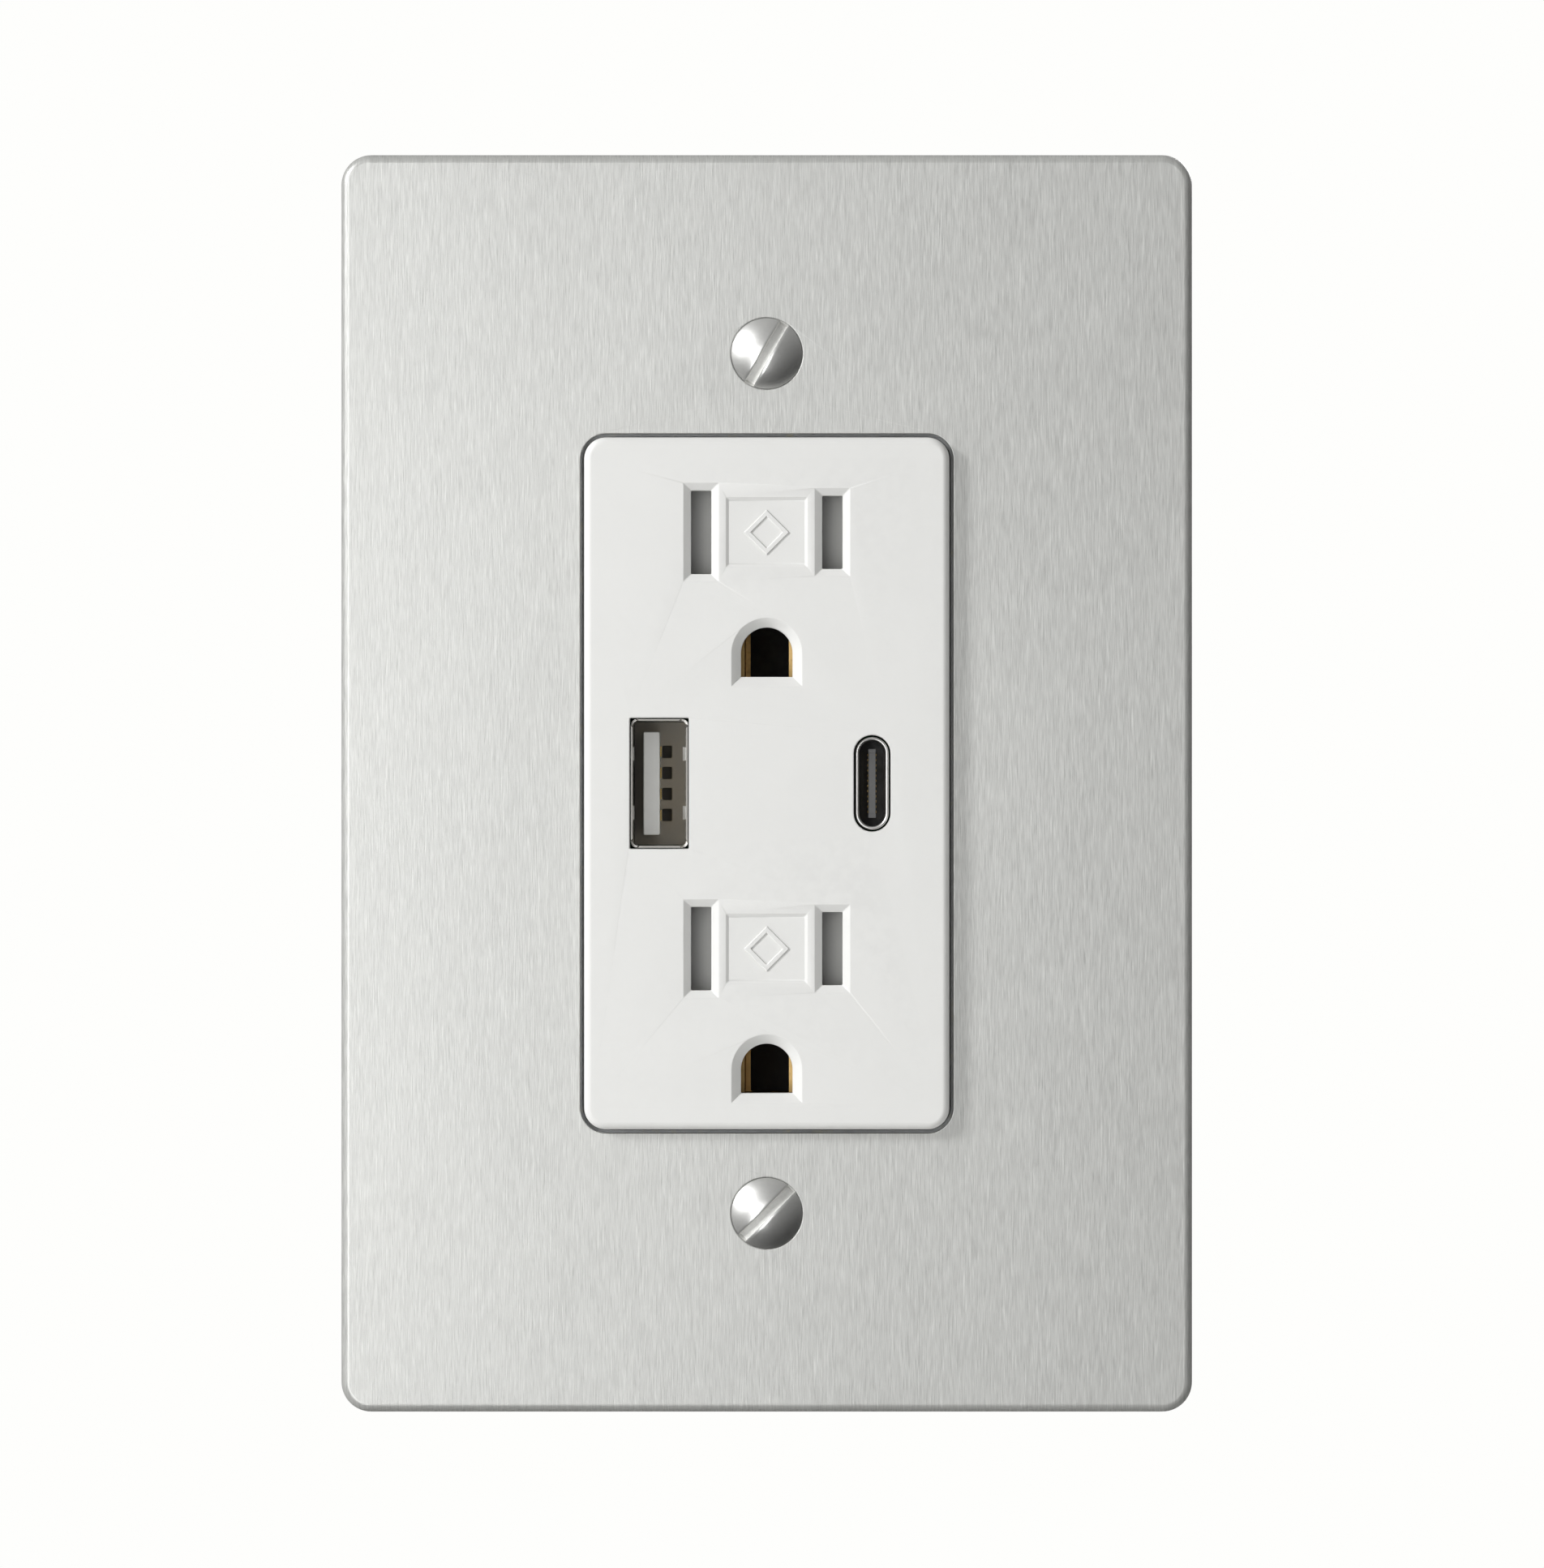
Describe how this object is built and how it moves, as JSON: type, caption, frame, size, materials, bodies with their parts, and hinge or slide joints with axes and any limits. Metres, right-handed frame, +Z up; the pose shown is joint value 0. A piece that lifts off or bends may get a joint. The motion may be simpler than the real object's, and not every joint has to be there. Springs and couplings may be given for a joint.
{
  "type": "wall plate with usb receptacle",
  "caption": "Brushed steel wall plate screwed over a shuttered power receptacle with USB ports, lifting off its mounting strap with captive screws.",
  "frame": {"origin": "midway between the two screws, on the wall's surface", "axes": "+Z up the plate, +X to the right seen from the room, +Y into the wall"},
  "size_m": [0.0826, 0.0453, 0.1218],
  "materials": {
    "plate_steel": "stainless, brushed along its height",
    "screw_steel": "polished stainless",
    "face_plastic": "moulded white nylon, satin",
    "body_plastic": "moulded dark grey thermoplastic, fine texture",
    "strap_steel": "zinc-plated steel",
    "washer_nylon": "natural nylon",
    "shutter_plastic": "moulded light grey acetal",
    "tray_plastic": "moulded grey",
    "spring_steel": "drawn wire",
    "contact_brass": "stamped brass",
    "brass_screw": "machined brass",
    "nickel_screw": "nickel-plated",
    "green_screw": "green passivated steel",
    "clamp_steel": "zinc-plated, ribbed",
    "usb_shell_steel": "nickel-plated, folded",
    "usb_white_plastic": "moulded white",
    "usb_black_plastic": "moulded black",
    "gold_contact": "gold-flashed",
    "circuit_board": "green solder mask",
    "barrier_sheet": "insulating sheet",
    "ferrite": "sintered ferrite",
    "winding_tape": "yellow polyester tape",
    "can_sleeve": "shrink sleeve",
    "safety_blue": "dipped epoxy",
    "chip_black": "moulded epoxy"
  },
  "bodies": {
    "receptacle": {"receptacle_face": "face_plastic", "mounting_strap": "strap_steel", "rear_body": "body_plastic", "assembly_screws": "strap_steel", "upper_shutter_tray": "tray_plastic", "lower_shutter_tray": "tray_plastic", "upper_shutter_spring": "spring_steel", "lower_shutter_spring": "spring_steel", "hot_contact": "contact_brass", "neutral_contact": "contact_brass", "ground_contact": "contact_brass", "ground_terminal_plate": "contact_brass", "ground_rivets": "strap_steel", "usb_a_shell": "usb_shell_steel", "usb_a_insulator": "usb_white_plastic", "usb_a_contacts": "gold_contact", "usb_c_shell": "usb_shell_steel", "usb_c_insulator": "usb_black_plastic", "usb_c_contacts": "gold_contact", "usb_board": "circuit_board", "power_board": "circuit_board", "header_block": "usb_black_plastic", "header_pins": "gold_contact", "insulating_barrier": "barrier_sheet", "transformer_core": "ferrite", "transformer_winding": "winding_tape", "input_capacitors": "can_sleeve", "output_capacitors": "can_sleeve", "filter_choke": "ferrite", "board_fuse": "chip_black", "safety_capacitor": "safety_blue", "board_chips": "chip_black"},
    "cover": {"wall_plate": "plate_steel"},
    "top_washer": {"top_retaining_washer": "washer_nylon"},
    "top_screw": {"top_cover_screw": "screw_steel"},
    "bottom_washer": {"bottom_retaining_washer": "washer_nylon"},
    "bottom_screw": {"bottom_cover_screw": "screw_steel"},
    "upper_shutter": {"upper_shutter": "shutter_plastic"},
    "lower_shutter": {"lower_shutter": "shutter_plastic"},
    "hot_upper_terminal_clamp": {"hot_upper_terminal_clamp": "clamp_steel"},
    "hot_upper_terminal_screw": {"hot_upper_terminal_screw": "brass_screw"},
    "hot_lower_terminal_clamp": {"hot_lower_terminal_clamp": "clamp_steel"},
    "hot_lower_terminal_screw": {"hot_lower_terminal_screw": "brass_screw"},
    "neutral_upper_terminal_clamp": {"neutral_upper_terminal_clamp": "clamp_steel"},
    "neutral_upper_terminal_screw": {"neutral_upper_terminal_screw": "nickel_screw"},
    "neutral_lower_terminal_clamp": {"neutral_lower_terminal_clamp": "clamp_steel"},
    "neutral_lower_terminal_screw": {"neutral_lower_terminal_screw": "nickel_screw"},
    "ground_terminal_clamp": {"ground_terminal_clamp": "clamp_steel"},
    "ground_terminal_screw": {"ground_terminal_screw": "green_screw"}
  },
  "joints": [
    {"name": "cover_lift", "type": "slide", "parent": "receptacle", "child": "cover", "axis": [0, -1, 0], "range_m": [0, 0.036]},
    {"name": "top_screw_travel", "type": "slide", "parent": "cover", "child": "top_washer", "axis": [0, -1, 0], "range_m": [0, 0.00159]},
    {"name": "top_screw_turn", "type": "hinge", "parent": "top_washer", "child": "top_screw", "pos_m": [0, 0, 0.04167], "axis": [0, -1, 0], "range_deg": [0, 721]},
    {"name": "bottom_screw_travel", "type": "slide", "parent": "cover", "child": "bottom_washer", "axis": [0, -1, 0], "range_m": [0, 0.00159]},
    {"name": "bottom_screw_turn", "type": "hinge", "parent": "bottom_washer", "child": "bottom_screw", "pos_m": [0, 0, -0.04167], "axis": [0, -1, 0], "range_deg": [0, 721]},
    {"name": "upper_shutter_slide", "type": "slide", "parent": "receptacle", "child": "upper_shutter", "axis": [1, 0, 0], "range_m": [0, 0.0027], "stiffness_N_per_m": 200, "springref_m": -0.002, "deforming": ["upper_shutter_spring"]},
    {"name": "lower_shutter_slide", "type": "slide", "parent": "receptacle", "child": "lower_shutter", "axis": [1, 0, 0], "range_m": [0, 0.0027], "stiffness_N_per_m": 200, "springref_m": -0.002, "deforming": ["lower_shutter_spring"]},
    {"name": "hot_upper_terminal_travel", "type": "slide", "parent": "receptacle", "child": "hot_upper_terminal_clamp", "axis": [1, 0, 0], "range_m": [0, 0.00238]},
    {"name": "hot_upper_terminal_turn", "type": "hinge", "parent": "hot_upper_terminal_clamp", "child": "hot_upper_terminal_screw", "pos_m": [0.018, 0.0093, 0.012], "axis": [1, 0, 0], "range_deg": [0, 1081]},
    {"name": "hot_lower_terminal_travel", "type": "slide", "parent": "receptacle", "child": "hot_lower_terminal_clamp", "axis": [1, 0, 0], "range_m": [0, 0.00238]},
    {"name": "hot_lower_terminal_turn", "type": "hinge", "parent": "hot_lower_terminal_clamp", "child": "hot_lower_terminal_screw", "pos_m": [0.018, 0.0093, -0.012], "axis": [1, 0, 0], "range_deg": [0, 1081]},
    {"name": "neutral_upper_terminal_travel", "type": "slide", "parent": "receptacle", "child": "neutral_upper_terminal_clamp", "axis": [-1, 0, 0], "range_m": [0, 0.00238]},
    {"name": "neutral_upper_terminal_turn", "type": "hinge", "parent": "neutral_upper_terminal_clamp", "child": "neutral_upper_terminal_screw", "pos_m": [-0.018, 0.0093, 0.012], "axis": [-1, 0, 0], "range_deg": [0, 1081]},
    {"name": "neutral_lower_terminal_travel", "type": "slide", "parent": "receptacle", "child": "neutral_lower_terminal_clamp", "axis": [-1, 0, 0], "range_m": [0, 0.00238]},
    {"name": "neutral_lower_terminal_turn", "type": "hinge", "parent": "neutral_lower_terminal_clamp", "child": "neutral_lower_terminal_screw", "pos_m": [-0.018, 0.0093, -0.012], "axis": [-1, 0, 0], "range_deg": [0, 1081]},
    {"name": "ground_terminal_travel", "type": "slide", "parent": "receptacle", "child": "ground_terminal_clamp", "axis": [-1, 0, 0], "range_m": [0, 0.00238]},
    {"name": "ground_terminal_turn", "type": "hinge", "parent": "ground_terminal_clamp", "child": "ground_terminal_screw", "pos_m": [-0.018, 0.0093, -0.0304], "axis": [-1, 0, 0], "range_deg": [0, 1081]}
  ],
  "couplings": [
    {"joint": "top_screw_turn", "follows": "top_screw_travel", "rad_per_m": 7915.8},
    {"joint": "bottom_screw_turn", "follows": "bottom_screw_travel", "rad_per_m": 7915.8},
    {"joint": "hot_upper_terminal_turn", "follows": "hot_upper_terminal_travel", "rad_per_m": 7915.8},
    {"joint": "hot_lower_terminal_turn", "follows": "hot_lower_terminal_travel", "rad_per_m": 7915.8},
    {"joint": "neutral_upper_terminal_turn", "follows": "neutral_upper_terminal_travel", "rad_per_m": 7915.8},
    {"joint": "neutral_lower_terminal_turn", "follows": "neutral_lower_terminal_travel", "rad_per_m": 7915.8},
    {"joint": "ground_terminal_turn", "follows": "ground_terminal_travel", "rad_per_m": 7915.8}
  ]
}
